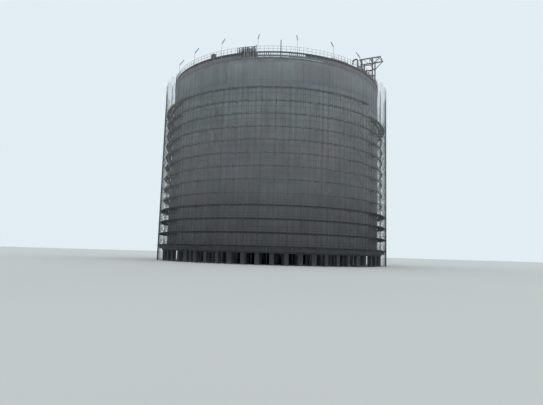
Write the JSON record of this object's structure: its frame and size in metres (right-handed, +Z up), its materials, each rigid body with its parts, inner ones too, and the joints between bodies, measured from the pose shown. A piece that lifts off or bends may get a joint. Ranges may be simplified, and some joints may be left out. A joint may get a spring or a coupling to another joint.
{
  "type": "upright cylindrical refrigerated gas storage tank with construction scaffold, 1:2 scale model",
  "caption": "Large round concrete gas tank on a raised slab with a domed roof, roof-edge walkway, lights, hoist gantry and a tube scaffold standing all round it.",
  "frame": {"origin": "on the tank's vertical axis, at ground level", "axes": "+Z up, -Y towards the side that the picture shows, +X to the right of that view"},
  "size_m": [24.08, 24.08, 21.075],
  "materials": {
    "wall_concrete": "matt cast concrete, slightly blue grey, with board marks and stains",
    "slab_concrete": "matt cast concrete, dusty",
    "roof_concrete": "matt floated concrete",
    "scaffold_tube": "dull galvanised tube",
    "scaffold_boards": "weathered boards",
    "walkway_steel": "dark painted steel",
    "lighting_metal": "grey painted poles and lamp housings",
    "primer_steel": "red-brown primer, matt"
  },
  "bodies": {
    "root": {"base_slab": "slab_concrete", "pier_ring_01_front": "slab_concrete", "pier_ring_01_right": "slab_concrete", "pier_ring_01_back": "slab_concrete", "pier_ring_01_left": "slab_concrete", "pier_ring_02": "slab_concrete", "pier_ring_03": "slab_concrete", "pier_ring_04": "slab_concrete", "pier_ring_05": "slab_concrete", "pier_ring_06": "slab_concrete", "wall_segment_01": "wall_concrete", "wall_segment_02": "wall_concrete", "wall_segment_03": "wall_concrete", "wall_segment_04": "wall_concrete", "wall_segment_05": "wall_concrete", "wall_segment_06": "wall_concrete", "wall_segment_07": "wall_concrete", "wall_segment_08": "wall_concrete", "wall_segment_09": "wall_concrete", "wall_segment_10": "wall_concrete", "ring_beam": "roof_concrete", "dome_segment_01": "roof_concrete", "dome_segment_02": "roof_concrete", "dome_segment_03": "roof_concrete", "dome_segment_04": "roof_concrete", "dome_segment_05": "roof_concrete", "dome_segment_06": "roof_concrete", "scaffold_outer_standards_front": "scaffold_tube", "scaffold_outer_standards_right": "scaffold_tube", "scaffold_outer_standards_back": "scaffold_tube", "scaffold_outer_standards_left": "scaffold_tube", "scaffold_inner_standards": "scaffold_tube", "scaffold_deck_01": "scaffold_boards", "scaffold_deck_02": "scaffold_boards", "scaffold_deck_03": "scaffold_boards", "scaffold_deck_04": "scaffold_boards", "scaffold_deck_05": "scaffold_boards", "scaffold_deck_06": "scaffold_boards", "scaffold_deck_07": "scaffold_boards", "scaffold_deck_08": "scaffold_boards", "scaffold_deck_09": "scaffold_boards", "scaffold_deck_10": "scaffold_boards", "scaffold_deck_11": "scaffold_boards", "scaffold_deck_12": "scaffold_boards", "scaffold_deck_13": "scaffold_boards", "walkway_deck": "walkway_steel", "walkway_edge_band": "walkway_steel", "outer_handrail_front": "walkway_steel", "outer_handrail_right": "walkway_steel", "outer_handrail_back": "walkway_steel", "outer_handrail_left": "walkway_steel", "inner_handrail": "walkway_steel", "lighting_ring": "lighting_metal", "gantry_frame": "primer_steel", "gantry_runway": "primer_steel", "davit_arm": "primer_steel", "loading_guard": "walkway_steel", "walkway_cabinet": "walkway_steel", "walkway_mast": "lighting_metal"}
  },
  "joints": []
}
